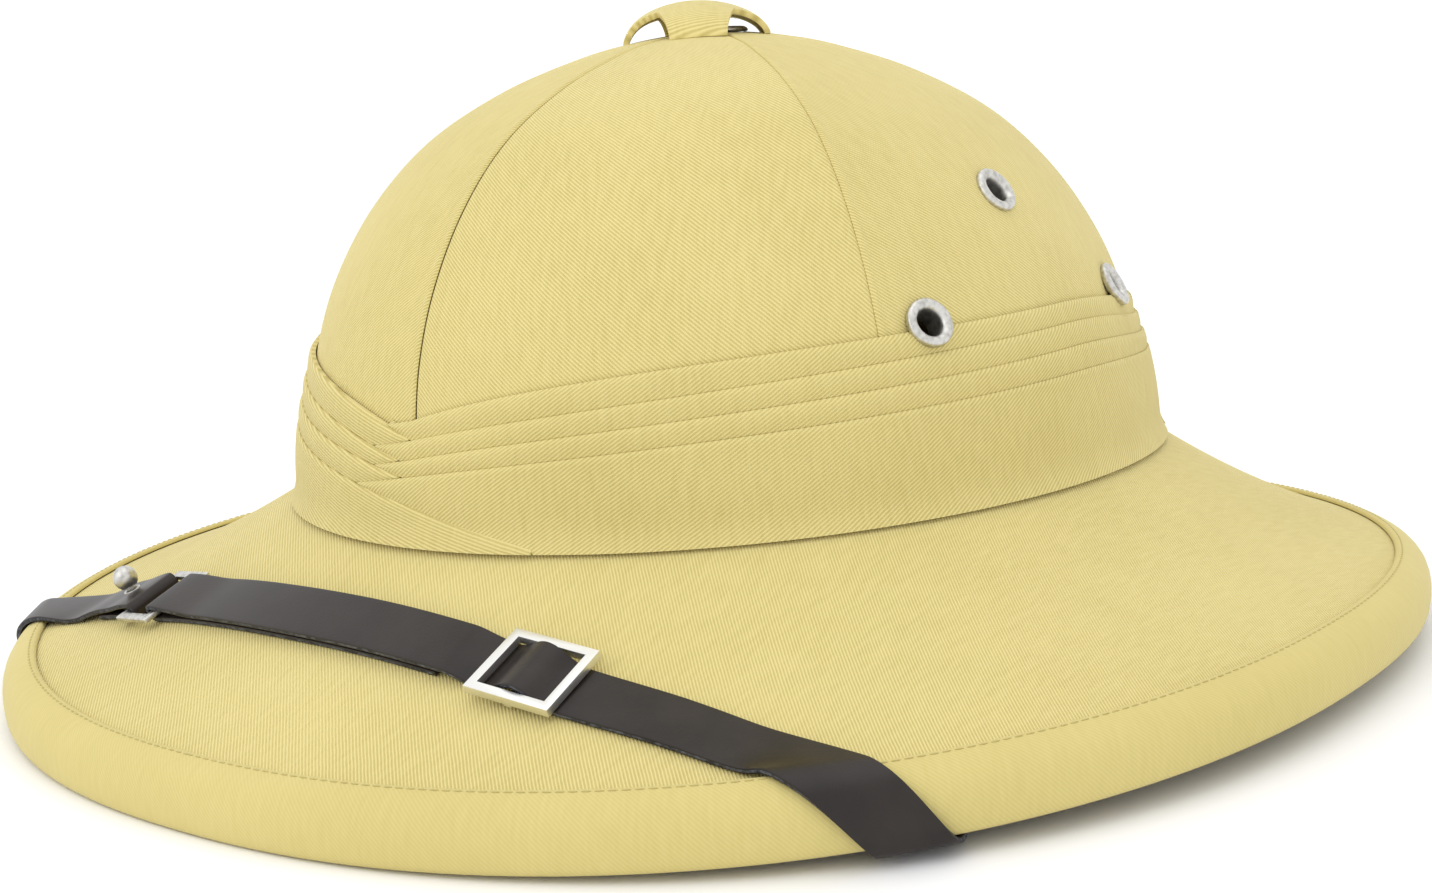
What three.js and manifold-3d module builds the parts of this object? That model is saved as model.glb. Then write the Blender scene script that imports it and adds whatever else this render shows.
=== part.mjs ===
// Pith helmet of the French pattern: a moulded shell in khaki twill, with a pleated band, a bound
// brim, nickel vents and a leather chin strap stowed over the front of the brim.
// Millimetres, +Z up, the front of the helmet towards -Y, resting on Z = 0.
import * as THREE from 'three';
import { mergeVertices } from 'three/addons/utils/BufferGeometryUtils.js';
import Module from 'manifold-3d';

const wasm = await Module();
wasm.setup();

// Rim and brim
const rimHalfWidth = 161;
const rimHalfLength = 168;
const rimFullness = 2.2;
const rimSideLift = 5.5;
const rimDepth = 13.1;
const lineInset = 6.6;
const lineHeight = 11.6;
const brimSag = 2.9;

// Crown
const crownHalfWidth = 100.4;
const crownHalfLength = 114;
const crownSetback = 8;
const crownLean = -3.6;
const crownRootHeight = 40;
const crownRise = 104.4;
const crownSideLift = 1.8;
const crownBackDrop = 1.2;

// Walls and clearances
const shellWall = 3;
const clothWall = 1;
const gap = 0.35;

// Band
const bandHeight = 39;
const bandFlare = 1.5;
const bandFlareHeight = 6;
const bandJoinAngle = 126;
const rightDip = 0.0064;
const leftDip = 0.0108;
const pleatStep = 0.7;
const pleatBase = 1.0;

// Vents
const ventRadius = 9.5;
const ventBore = 5;
const ventRim = 1.2;
const ventFootWidth = 13.4;
const ventNeckWidth = 18;
const ventSpan = 17.4;
const ventArch = 8.6;
const ventCapFullness = 0.6;
const ventCapWall = 1.4;
const ventTurn = 41;
const ventCoverShift = 3;
const eyeletRadius = 5.4;
const eyeletBore = 2.9;
const eyeletRim = 1.0;
const eyeletBarrelWall = 0.6;
const eyeletMidAngle = 87.5;
const eyeletSpread = 20.9;
const eyeletOverBand = 0.36;
const eyeletTier = 24.8;
const eyeletLean = 0.2;

// Chin strap and its metal
const strapWidth = 12.5;
const strapWall = 1.2;
const ringLength = 14.5;
const ringBar = 2.2;
const ringWall = 1.2;
const ringSideGap = 0.6;
const shortLapLength = 16;
const lapToBuckle = 10;
const studOffset = 13;
const studBall = 2.9;
const studNeck = 1.2;
const studNeckHeight = 0.8;
const buckleLength = 19.3;
const buckleBar = 1.9;
const buckleWall = 1.7;
const buckleSideGap = 0.4;
const buckleCentreBar = 1.6;
const buckleCentreWall = 1.2;
const buckleCentreLift = 0.85;
const buckleHump = 1;

// How finely the curved walls are divided
const ringSteps = 40;
const crownSteps = 7;
const brimSteps = 4;

const degree = Math.PI / 180;
const group = new THREE.Group();

// The crown's outline from its root to the edge of the top vent: height as a share of the crown's
// rise, reach as a share of its half width and half length.
const crownSections = [
  { rise: 0.03, reach: 0.955 },
  { rise: 0.2, reach: 0.938 },
  { rise: 0.35, reach: 0.912 },
  { rise: 0.5, reach: 0.855 },
  { rise: 0.65, reach: 0.76 },
  { rise: 0.78, reach: 0.63 },
  { rise: 0.88, reach: 0.46 },
  { rise: 0.945, reach: 0.285 },
  { rise: 0.972, reach: 0.17 },
  { rise: 0.984, reach: 0.085 },
];

// The binding's closed section round the rim: inset from the rim and height over its lowest edge, as
// shares of the rim's depth. The first eight rows are its outer face.
const bindingSection = [
  { inset: 0.588, height: 1 },
  { inset: 0.412, height: 0.966 },
  { inset: 0.214, height: 0.855 },
  { inset: 0.061, height: 0.656 },
  { inset: 0, height: 0.397 },
  { inset: 0.011, height: 0.092 },
  { inset: 0.084, height: 0 },
  { inset: 0.359, height: 0 },
  { inset: 0.435, height: 0.076 },
  { inset: 0.435, height: 0.427 },
  { inset: 0.351, height: 0.427 },
  { inset: 0.351, height: 0.084 },
  { inset: 0.107, height: 0.084 },
  { inset: 0.084, height: 0.397 },
  { inset: 0.134, height: 0.622 },
  { inset: 0.267, height: 0.786 },
  { inset: 0.435, height: 0.897 },
  { inset: 0.588, height: 0.939 },
];
const bindingFaceRows = 8;

// The turned-down edge of the moulded shell inside the binding, as shares of the rim's depth.
const lipSection = [
  { inset: 0.45, height: 0.756 },
  { inset: 0.321, height: 0.683 },
  { inset: 0.198, height: 0.573 },
  { inset: 0.115, height: 0.397 },
  { inset: 0.115, height: 0.115 },
  { inset: 0.321, height: 0.115 },
  { inset: 0.321, height: 0.45 },
];

// The pleats' folded edges, from the top of the band down. Heights are shares of the band's height
// at the front, at the sides and behind; ease is the angle over which an edge climbs from the front.
const pleats = [
  { rightFront: 0.667, rightEase: 28, leftFront: 0.567, leftEase: 28, side: 1.0, back: 0.9 },
  { rightFront: 0.562, rightEase: 40, leftFront: 0.438, leftEase: 40, side: 0.885, back: 0.78 },
  { rightFront: 0.462, rightEase: 40, leftFront: 0.367, leftEase: 55, side: 0.755, back: 0.67 },
  { rightFront: 0.374, rightEase: 40, leftFront: 0.236, leftEase: 60, side: 0.618, back: 0.56 },
];

// The stowed strap's route over the brim, as shares of the rim's half width and half length.
const strapRoute = [
  { across: -0.615, forward: 0.688 },
  { across: -0.5, forward: 0.69 },
  { across: -0.391, forward: 0.705 },
  { across: -0.093, forward: 0.734 },
  { across: 0.174, forward: 0.7365 },
  { across: 0.25, forward: 0.7335 },
  { across: 0.327, forward: 0.7315 },
  { across: 0.4, forward: 0.7275 },
  { across: 0.5, forward: 0.7145 },
  { across: 0.622, forward: 0.705 },
];
const ringAcross = -0.391;
const buckleAcross = 0.327;

// Where the strap goes over the rim at each end: the angles at which it meets the binding's upper edge
// and comes off its face, and its skewed span there as a share of its width.
const rimCrossings = {
  right: { side: 1, upperAngle: 44.6, lowerAngle: 52, upperSpan: 1.44, lowerSpan: 1.16 },
  left: { side: -1, upperAngle: -45.4, lowerAngle: -53, upperSpan: 1.3, lowerSpan: 1.15 },
};

const khaki = { color: 0xdcd08f, roughness: 0.85, metalness: 0 };
const leather = { color: 0x2a2422, roughness: 0.45, metalness: 0 };
const nickel = { color: 0xa9a7a2, roughness: 0.35, metalness: 1 };
const chrome = { color: 0xd8d8d8, roughness: 0.2, metalness: 1 };
const board = { color: 0xcfc28a, roughness: 0.9, metalness: 0 };

function add(name, geometry, look) {
  const mesh = new THREE.Mesh(geometry, new THREE.MeshStandardMaterial(look));
  mesh.name = name;
  group.add(mesh);
}

// A closed mesh from its points and its faces, which are loops of point numbers.
function closedMesh(points, faces) {
  const geometry = new THREE.BufferGeometry();
  const places = points.flatMap((point) => [point.x, point.y, point.z]);
  geometry.setAttribute('position', new THREE.Float32BufferAttribute(places, 3));
  const index = faces.flatMap(([a, b, c, d]) => [a, b, c, a, c, d]);
  geometry.setIndex(index);
  let volume = 0;
  for (let k = 0; k < index.length; k += 3) {
    const [a, b, c] = [points[index[k]], points[index[k + 1]], points[index[k + 2]]];
    volume += a.dot(b.clone().cross(c));
  }
  if (volume < 0) geometry.setIndex(index.reverse());
  geometry.computeVertexNormals();
  return geometry;
}

// A wall between an outer and an inner grid of points, as rows of equal length. It either runs
// right round, so that its last row meets its first, or is closed at both ends.
function wall(outer, inner, runsRound) {
  const rows = outer.length;
  const across = outer[0].length;
  const side = rows * across;
  const faces = [];
  const quad = (a, b, c, d) => faces.push([a, b, c, d]);
  for (let row = 0; row < (runsRound ? rows : rows - 1); row += 1) {
    const here = row * across;
    const there = ((row + 1) % rows) * across;
    for (let k = 0; k + 1 < across; k += 1) {
      quad(here + k, there + k, there + k + 1, here + k + 1);
      quad(side + here + k + 1, side + there + k + 1, side + there + k, side + here + k);
    }
    const last = across - 1;
    quad(side + here, side + there, there, here);
    quad(here + last, there + last, side + there + last, side + here + last);
  }
  if (!runsRound) {
    const end = (rows - 1) * across;
    for (let k = 0; k + 1 < across; k += 1) {
      quad(k, k + 1, side + k + 1, side + k);
      quad(side + end + k, side + end + k + 1, end + k + 1, end + k);
    }
  }
  return closedMesh([...outer.flat(), ...inner.flat()], faces);
}

// Closed sections swept right round, such as a rolled rim.
function ringSweep(sections) {
  const count = sections[0].length;
  const faces = [];
  sections.forEach((section, row) => {
    const next = (row + 1) % sections.length;
    section.forEach((point, k) => {
      const after = (k + 1) % count;
      faces.push([row * count + k, next * count + k, next * count + after, row * count + after]);
    });
  });
  return closedMesh(sections.flat(), faces);
}

function toSolid(geometry) {
  const bare = geometry.clone();
  bare.deleteAttribute('normal');
  bare.deleteAttribute('uv');
  const merged = mergeVertices(bare, 1e-5);
  return new wasm.Manifold(new wasm.Mesh({
    numProp: 3,
    vertProperties: new Float32Array(merged.getAttribute('position').array),
    triVerts: new Uint32Array(merged.getIndex().array),
  }));
}

function toGeometry(solid) {
  const mesh = solid.getMesh();
  const geometry = new THREE.BufferGeometry();
  geometry.setAttribute('position', new THREE.Float32BufferAttribute(mesh.vertProperties, 3));
  geometry.setIndex(new THREE.Uint32BufferAttribute(mesh.triVerts, 1));
  geometry.computeVertexNormals();
  return geometry;
}

function cutAll(geometry, cutters) {
  return toGeometry(cutters.reduce((solid, cutter) => solid.subtract(toSolid(cutter)), toSolid(geometry)));
}

// A rounded outline: angle 0 is the front of the helmet and 90 is towards +X, the right as seen
// from the front.
function outline(angle, halfWidth, halfLength, fullness) {
  const across = Math.sin(angle * degree);
  const forward = Math.cos(angle * degree);
  const power = 2 / fullness;
  return {
    x: halfWidth * Math.sign(across) * Math.abs(across) ** power,
    y: -halfLength * Math.sign(forward) * Math.abs(forward) ** power,
  };
}

function rimPoint(angle, inset, height) {
  const { x, y } = outline(angle, rimHalfWidth - inset, rimHalfLength - inset, rimFullness);
  return new THREE.Vector3(x, y, rimSideLift * Math.sin(angle * degree) ** 2 + height);
}

function rimRows(section, angle) {
  return section.map((row) => rimPoint(angle, row.inset * rimDepth, row.height * rimDepth));
}

const crownCurve = new THREE.SplineCurve(crownSections.map((row) => new THREE.Vector2(row.reach, row.rise)));
const crownLine = crownCurve.getSpacedPoints(240);
const rootRise = crownSections[0].rise;
const topRise = crownSections.at(-1).rise;

function reachAt(rise) {
  const found = crownLine.findIndex((point) => point.y >= rise);
  const after = found < 0 ? crownLine.length - 1 : Math.max(1, found);
  const [low, high] = [crownLine[after - 1], crownLine[after]];
  return low.x + (high.x - low.x) * (rise - low.y) / (high.y - low.y);
}

function crownPoint(angle, rise) {
  const behind = Math.max(0, -Math.cos(angle * degree)) ** 2;
  const foot = crownRootHeight + crownSideLift * Math.sin(angle * degree) ** 2 - crownBackDrop * behind;
  const { x, y } = outline(angle, crownHalfWidth, crownHalfLength, 2);
  const reach = reachAt(rise);
  const height = foot + (crownRootHeight + crownRise - foot) * rise;
  return new THREE.Vector3(x * reach, y * reach + crownSetback + crownLean * rise, height);
}

function brimPoint(angle, share) {
  const point = crownPoint(angle, rootRise).lerp(rimPoint(angle, lineInset, lineHeight), share);
  point.z -= brimSag * 4 * share * (1 - share);
  return point;
}

// The way out of a surface at one of its places.
function surfaceNormal(surface, angle, place, low, high) {
  const turn = surface(angle + 0.5, place).sub(surface(angle - 0.5, place));
  const step = surface(angle, Math.min(place + 0.004, high)).sub(surface(angle, Math.max(place - 0.004, low)));
  const normal = turn.cross(step).normalize();
  return surface === brimPoint ? normal.negate() : normal;
}

function onCrown(angle, rise, stand) {
  const normal = surfaceNormal(crownPoint, angle, rise, -1, topRise);
  return crownPoint(angle, rise).addScaledVector(normal, stand);
}

function onBrim(angle, share, stand) {
  return brimPoint(angle, share).addScaledVector(surfaceNormal(brimPoint, angle, share, -1, 2), stand);
}

const spread = (from, to, steps) => Array.from({ length: steps + 1 }, (_, k) => from + (to - from) * k / steps);

// Heights that divide the crown's outline evenly between two of its rises.
function evenRises(from, to, steps) {
  const part = crownLine.filter((point) => point.y > from && point.y < to);
  const inside = spread(0, part.length - 1, steps).slice(1, -1).map((k) => part[Math.round(k)].y);
  return [from, ...inside, to];
}

const ringAngles = spread(0, 360, ringSteps).slice(0, -1).map((angle) => angle + 180 / ringSteps);
const clothUnder = -clothWall - gap;
const shellUnder = clothUnder - shellWall;
const rises = evenRises(rootRise, topRise, crownSteps);
const shellTopReach = (ventBore + eyeletBarrelWall + gap) / crownHalfWidth;

// Where the crown turns out into the brim, at a stand from both.
function rootCorner(angle, stand) {
  const point = onCrown(angle, rootRise, stand);
  point.z += stand * 0.6;
  return point;
}

// Moulded shell: crown and brim in one wall, turned down at the rim and open over the head.
function shellSection(angle) {
  const shares = spread(0, 1, brimSteps);
  const hole = onCrown(angle, topRise, clothUnder);
  const centre = new THREE.Vector3(0, crownSetback + crownLean * topRise, hole.z);
  const edge = hole.clone().sub(centre).multiplyScalar(shellTopReach / reachAt(topRise)).add(centre);
  const lip = rimRows(lipSection, angle);
  const below = new THREE.Vector3(0, 0, -shellWall);
  return [
    edge,
    ...rises.slice(1).reverse().map((rise) => onCrown(angle, rise, clothUnder)),
    rootCorner(angle, clothUnder),
    ...shares.slice(1, -1).map((share) => onBrim(angle, share, clothUnder)),
    ...lip,
    ...shares.slice(1, -1).reverse().map((share) => onBrim(angle, share, shellUnder)),
    rootCorner(angle, shellUnder),
    ...rises.slice(1).map((rise) => onCrown(angle, rise, shellUnder)),
    edge.clone().add(below),
  ];
}

// Eyelets: three a side in a low triangle, through the cloth and the shell. The low ones lean, since
// their flanges lie half over the band's top edge.
const eyeletLowRise = (bandHeight + eyeletOverBand) / crownRise;
const eyeletHighRise = eyeletLowRise + eyeletTier / crownRise;
const eyeletPlaces = [
  { name: '1', turn: -eyeletSpread, rise: eyeletLowRise, lean: eyeletLean },
  { name: '2', turn: 0, rise: eyeletHighRise, lean: 0 },
  { name: '3', turn: eyeletSpread, rise: eyeletLowRise, lean: eyeletLean },
];
const eyelets = ['right', 'left'].flatMap((side) => eyeletPlaces.map((place) => {
  const angle = (eyeletMidAngle + place.turn) * (side === 'right' ? 1 : -1);
  const normal = surfaceNormal(crownPoint, angle, place.rise, rootRise, topRise);
  const up = crownPoint(angle, place.rise + 0.01).sub(crownPoint(angle, place.rise)).normalize();
  const axis = normal.clone().addScaledVector(up, place.lean).normalize();
  const turn = new THREE.Quaternion().setFromUnitVectors(new THREE.Vector3(0, 0, 1), axis);
  const seat = onCrown(angle, place.rise, eyeletRadius * place.lean);
  return {
    name: `eyelet_${side}_${place.name}`,
    matrix: new THREE.Matrix4().compose(seat, turn, new THREE.Vector3(1, 1, 1)),
  };
}));

// A plain round cutter through the wall at an eyelet.
function eyeletCutter(eyelet, radius) {
  const reach = 12;
  return new THREE.CylinderGeometry(radius, radius, reach, 10).rotateX(Math.PI / 2).applyMatrix4(eyelet.matrix);
}

const barrelRadius = eyeletBore + eyeletBarrelWall;
const barrelCutters = eyelets.map((eyelet) => eyeletCutter(eyelet, barrelRadius + gap));

add('helmet_shell', cutAll(ringSweep(ringAngles.map(shellSection)), barrelCutters), board);

// Six twill gores, seamed over the front, the back and every sixty degrees between.
const goreAngle = 60;
for (let number = 0; number < 6; number += 1) {
  const [from, to] = [number * goreAngle, (number + 1) * goreAngle];
  const columns = [from, ...ringAngles.filter((angle) => angle > from && angle < to), to];
  const row = (angle, k, stand) => rises.map((rise) => {
    const seamShare = gap / 2 / (crownHalfWidth * reachAt(rise)) / degree;
    const inward = k === 0 ? seamShare : k === columns.length - 1 ? -seamShare : 0;
    return onCrown(angle + inward, rise, stand);
  });
  const outer = columns.map((angle, k) => row(angle, k, 0));
  const inner = columns.map((angle, k) => row(angle, k, -clothWall));
  const gore = wall(outer, inner, false);
  add(`crown_gore_${number + 1}`, cutAll(gore, barrelCutters), khaki);
}

// Brim cover: one ring of twill from the root of the crown to under the binding.
const coverShares = [0.03, ...spread(0, 1, brimSteps).slice(1)];
add('brim_cover', wall(
  ringAngles.map((angle) => coverShares.map((share) => onBrim(angle, share, 0))),
  ringAngles.map((angle) => coverShares.map((share) => onBrim(angle, share, -clothWall))),
  true,
), khaki);

// Binding: a folded strip round the rim, down its face and under it.
add('brim_binding', ringSweep(ringAngles.map((angle) => rimRows(bindingSection, angle))), khaki);

// Band: four layers a side, each lying over the one above, crossing in turn at the front.
function pleatEdge(row, angle, side) {
  const turned = side === 'right' ? angle : -angle;
  const front = side === 'right' ? row.rightFront : row.leftFront;
  const ease = side === 'right' ? row.rightEase : row.leftEase;
  const full = 1 - Math.exp(-90 / ease);
  if (turned < 0) return front + turned * (side === 'right' ? rightDip : leftDip);
  const climbed = front + (row.side - front) * (1 - Math.exp(-Math.min(turned, 90) / ease)) / full;
  const past = Math.min(1, Math.max(0, (turned - 90) / (bandJoinAngle - 90)));
  return climbed + (row.back - row.side) * past * past * (3 - 2 * past);
}

function bandPoint(angle, share, stand) {
  return onCrown(angle, share * bandHeight / crownRise, stand);
}

function crossing(first, second, from, to) {
  let [low, high] = [from, to];
  for (let k = 0; k < 40; k += 1) {
    const middle = (low + high) / 2;
    if ((first(middle) - second(middle)) * (first(from) - second(from)) > 0) low = middle;
    else high = middle;
  }
  return low;
}

// The lowest layers end in a foot: its outer edge near the root, its inner edge higher up, clear of
// the brim cover.
const edgeGap = gap / bandHeight;
const thinEdge = 1.2 / bandHeight;
const outerFoot = 0.015;
const innerFoot = 0.115;
const lowestRow = pleats.at(-1);
const lowestEdge = (angle) => pleatEdge(lowestRow, angle, 'left') - edgeGap;
const frontLimit = 40;
const lowestTip = crossing(lowestEdge, () => outerFoot + thinEdge / 2, 0, frontLimit);
const pastTip = lowestTip + 0.3;
const innerTip = crossing(lowestEdge, () => innerFoot + thinEdge, 0, frontLimit);
const bandLayers = pleats.flatMap((row, k) => ['right', 'left'].map((side) => {
  const next = pleats[k + 1];
  const top = (angle) => pleatEdge(row, angle, side);
  const lowest = row === lowestRow;
  const edgeUnder = (angle) => {
    if (lowest) return side === 'right' && angle < pastTip ? pleatEdge(row, angle, 'left') : -1;
    const own = pleatEdge(next, angle, side);
    const other = side === 'right' ? pleatEdge(row, angle, 'left') : pleatEdge(next, angle, 'right');
    return Math.max(own, other);
  };
  const stand = gap + pleatBase + pleatStep * (k + (side === 'left' ? 0.5 : 0));
  return { name: `band_${side}_${k + 1}`, side, top, edgeUnder, stand, lowest };
}));

for (const layer of bandLayers) {
  const joinGap = gap / crownHalfWidth / degree / 2;
  const end = layer.side === 'right' ? bandJoinAngle - joinGap : bandJoinAngle - 360 + joinGap;
  const height = (angle) => layer.top(angle) - Math.max(layer.edgeUnder(angle), outerFoot) - thinEdge;
  const reach = layer.side === 'right' ? -frontLimit : frontLimit;
  const meeting = crossing(height, () => 0, -reach / 5, reach);
  const start = layer.lowest && layer.side === 'left' ? lowestTip : meeting;
  const steps = Math.ceil(Math.abs(end - start) / 9);
  const tips = layer.lowest ? spread(innerTip, lowestTip, 4) : [];
  if (layer.lowest && layer.side === 'right') tips.push(pastTip, pastTip + 0.5);
  const clear = (angle) => !layer.lowest || angle < innerTip - 1 || angle > lowestTip + 2;
  const columns = [...spread(start, end, steps).filter(clear), ...tips];
  columns.sort((a, b) => (a - b) * Math.sign(end - start));
  const shares = (low, high, middle) => (layer.lowest ? [low, low + (high - low) * middle, high] : [low, high]);
  const line = (angle, out) => {
    const top = layer.top(angle) - edgeGap;
    const under = layer.edgeUnder(angle);
    if (!out) {
      const covered = under > 0 && layer.lowest ? innerFoot + thinEdge + edgeGap : innerFoot;
      const low = Math.max(under, layer.lowest ? covered : 0);
      return shares(low, Math.max(top, low + thinEdge), 0.5).map((share) => bandPoint(angle, share, gap));
    }
    const low = Math.max(under, outerFoot);
    const above = (low - outerFoot) * bandHeight / bandFlareHeight;
    const flare = layer.lowest ? bandFlare * Math.max(0, 1 - above) : 0;
    const middle = Math.min(0.6, bandFlareHeight / bandHeight / (top - low));
    const stands = [layer.stand + flare, layer.stand, layer.stand];
    return shares(low, top, middle).map((share, k) => bandPoint(angle, share, stands[k]));
  };
  const outer = columns.map((angle) => line(angle, true));
  const inner = columns.map((angle) => line(angle, false));
  add(layer.name, cutAll(wall(outer, inner, false), barrelCutters), khaki);
}

// Eyelets: a rolled flange over a barrel, turned about its own axis.
function rolledVent(bore, barrelWall, radius, rim, depth, sides) {
  const section = [
    [bore, -depth], [bore + barrelWall, -depth], [bore + barrelWall, gap], [radius, gap],
    [radius, gap + rim * 0.45], [radius - rim * 0.6, gap + rim], [bore + rim * 0.5, gap + rim], [bore, rim * 0.7],
  ];
  const loop = [...section, section[0]].map(([x, y]) => new THREE.Vector2(x, y));
  return new THREE.LatheGeometry(loop, sides).rotateX(Math.PI / 2);
}

const wallDepth = clothWall + gap + shellWall + gap;
for (const eyelet of eyelets) {
  const geometry = rolledVent(eyeletBore, eyeletBarrelWall, eyeletRadius, eyeletRim, wallDepth, 10);
  add(eyelet.name, geometry.applyMatrix4(eyelet.matrix), nickel);
}

// Top vent, and the domed cloth cap over it, cut away between its four feet.
const top = crownPoint(0, topRise);
const ventCentre = new THREE.Vector3(0, crownSetback + crownLean * topRise, top.z);
const topVent = rolledVent(ventBore, eyeletBarrelWall, ventRadius, ventRim, wallDepth, 16);
add('top_vent', topVent.translate(ventCentre.x, ventCentre.y, ventCentre.z), nickel);

const ventFootRise = 0.972;
const capFoot = crownPoint(90, ventFootRise).z + 2 * gap - ventCentre.z;
const capArcs = spread(-90, 90, 10).map((turn) => Math.sin(turn * degree));
function capSide(stand) {
  const reach = ventSpan - ventCapWall + stand;
  const rise = ventArch - ventCapWall + stand;
  return capArcs.map((arcX) => capArcs.map((arcY) => {
    const fall = Math.max(0, (1 - arcX * arcX) * (1 - arcY * arcY)) ** ventCapFullness;
    return new THREE.Vector3(arcX * reach, arcY * reach, capFoot + rise * fall);
  }));
}

const [neck, foot, pastCap] = [ventNeckWidth / 2, ventFootWidth / 2, ventSpan + gap];
const notchShape = new THREE.Shape([[neck, neck], [pastCap, foot], [pastCap, pastCap], [foot, pastCap]]
  .map(([x, y]) => new THREE.Vector2(x, y)));
const notches = [0, 90, 180, 270].map((turn) => {
  const notch = new THREE.ExtrudeGeometry(notchShape, { depth: ventArch, bevelEnabled: false });
  return notch.translate(0, 0, capFoot - gap).rotateZ(turn * degree);
});
const ventCap = cutAll(wall(capSide(ventCapWall), capSide(0), false), notches);
ventCap.translate(-ventCoverShift, 0, 0).rotateZ(ventTurn * degree);
add('vent_cover', ventCap.translate(ventCentre.x, ventCentre.y, ventCentre.z), khaki);

// Chin strap. Its places over the brim come from the route, which runs from left to right.
const routePoints = strapRoute
  .map((row) => new THREE.Vector3(row.across * rimHalfWidth, -row.forward * rimHalfLength, 0));
const routeLine = new THREE.CatmullRomCurve3(routePoints).getSpacedPoints(300);

function brimPlace(x, y) {
  let [angle, share] = [Math.atan2(x, -y) / degree, 0.6];
  for (let k = 0; k < 12; k += 1) {
    const here = brimPoint(angle, share);
    const turn = brimPoint(angle + 0.1, share).sub(here).multiplyScalar(10);
    const step = brimPoint(angle, share + 0.01).sub(here).multiplyScalar(100);
    const [dx, dy] = [x - here.x, y - here.y];
    const scale = turn.x * step.y - turn.y * step.x;
    angle += (dx * step.y - dy * step.x) / scale;
    share += (turn.x * dy - turn.y * dx) / scale;
  }
  return { angle, share };
}

// The brim under the strap at a distance across: its place, the way along the strap and the way out.
function strapSeat(x) {
  const found = routeLine.findIndex((point) => point.x >= x);
  const after = found < 0 ? routeLine.length - 1 : Math.max(1, found);
  const [low, high] = [routeLine[after - 1], routeLine[after]];
  const y = low.y + (high.y - low.y) * (x - low.x) / (high.x - low.x);
  const place = brimPlace(x, y);
  const normal = surfaceNormal(brimPoint, place.angle, place.share, -1, 2);
  const along = high.clone().sub(low);
  along.addScaledVector(normal, -along.dot(normal)).normalize();
  return { point: brimPoint(place.angle, place.share), along, normal, place };
}

const lowLayer = gap + strapWall / 2;
const highLayer = lowLayer + strapWall + gap;
const foldRadius = (ringWall + 2 * gap + strapWall) / 2;
const ringX = ringAcross * rimHalfWidth;
const buckleX = buckleAcross * rimHalfWidth;
const barOffset = ringLength / 2 - ringBar / 2;
const foldOffset = barOffset - ringBar / 2 + gap;

function onRoute(x, height, facing) {
  const seat = strapSeat(x);
  const across = seat.normal.clone().cross(seat.along).multiplyScalar(strapWidth / 2);
  return {
    point: seat.point.clone().addScaledVector(seat.normal, height),
    normal: seat.normal.clone().multiplyScalar(facing),
    across,
  };
}

// The half turn round a bar of the ring, from the upper layer to the lower one.
function ringFold(side) {
  const seat = strapSeat(ringX);
  const across = seat.normal.clone().cross(seat.along).multiplyScalar(strapWidth / 2);
  return spread(0, 180, 6).map((turn) => {
    const normal = seat.normal.clone().multiplyScalar(Math.cos(turn * degree));
    normal.addScaledVector(seat.along, -side * Math.sin(turn * degree));
    const point = seat.point.clone().addScaledVector(seat.along, side * foldOffset);
    point.addScaledVector(seat.normal, lowLayer + foldRadius).addScaledVector(normal, foldRadius);
    return { point, normal, across };
  });
}

// The strap's middle line round the rim: the binding's outer face pushed out by its clearance and half
// the strap's wall.
const bindingFace = bindingSection.slice(0, bindingFaceRows)
  .map((row) => new THREE.Vector2(row.inset, row.height).multiplyScalar(rimDepth));
const wrapStand = gap + strapWall / 2 + 0.05;
const wrapLine = bindingFace.map((place, k) => {
  const before = bindingFace[Math.max(0, k - 1)];
  const after = bindingFace[Math.min(bindingFace.length - 1, k + 1)];
  const way = place.clone().sub(before).normalize().add(after.clone().sub(place).normalize());
  const out = new THREE.Vector2(way.y, -way.x).normalize();
  return { place: place.clone().addScaledVector(out, wrapStand), out };
});

// The strap's way under the brim, back to the side of the head opening.
const underRoute = [
  { angle: 62, share: 0.62, drop: 0.6 },
  { angle: 74, share: 0.36, drop: 0.8 },
  { angle: 82, share: 0.16, drop: 0.9 },
  { angle: 86, share: 0.03, drop: 1.0 },
];

// Round the rim and back under the brim to the side of the head opening.
function rimWrap({ side, upperAngle, lowerAngle, upperSpan, lowerSpan }) {
  const lengths = wrapLine.map((row, k) => (k ? row.place.distanceTo(wrapLine[k - 1].place) : 0));
  const whole = lengths.reduce((sum, length) => sum + length, 0);
  let travelled = 0;
  const wrap = wrapLine.map(({ place, out }, k) => {
    travelled += lengths[k];
    const share = travelled / whole;
    const angle = upperAngle + (lowerAngle - upperAngle) * share;
    const way = rimPoint(angle + side, 0, 0).sub(rimPoint(angle - side, 0, 0)).normalize();
    const outward = rimPoint(angle, -1, 0).sub(rimPoint(angle, 0, 0)).setZ(0).normalize();
    const normal = outward.multiplyScalar(-out.x).add(new THREE.Vector3(0, 0, out.y));
    const span = upperSpan + (lowerSpan - upperSpan) * share;
    const across = way.multiplyScalar(strapWidth / 2 * span);
    return { point: rimPoint(angle, place.x, place.y), normal, across };
  });
  const start = wrap.at(-1);
  const anchor = underRoute.map((row) => {
    const angle = side * row.angle;
    const normal = surfaceNormal(brimPoint, angle, row.share, -1, 2);
    const point = brimPoint(angle, row.share).addScaledVector(normal, shellUnder - lowLayer - row.drop);
    return { point, normal: normal.negate() };
  });
  anchor.forEach((row, k) => {
    const way = row.point.clone().sub(k ? anchor[k - 1].point : start.point);
    row.across = row.normal.clone().cross(way).normalize().multiplyScalar(strapWidth / 2 * -side);
    if (row.across.dot(start.across) < 0) row.across.negate();
  });
  return [...wrap, ...anchor];
}

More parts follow.
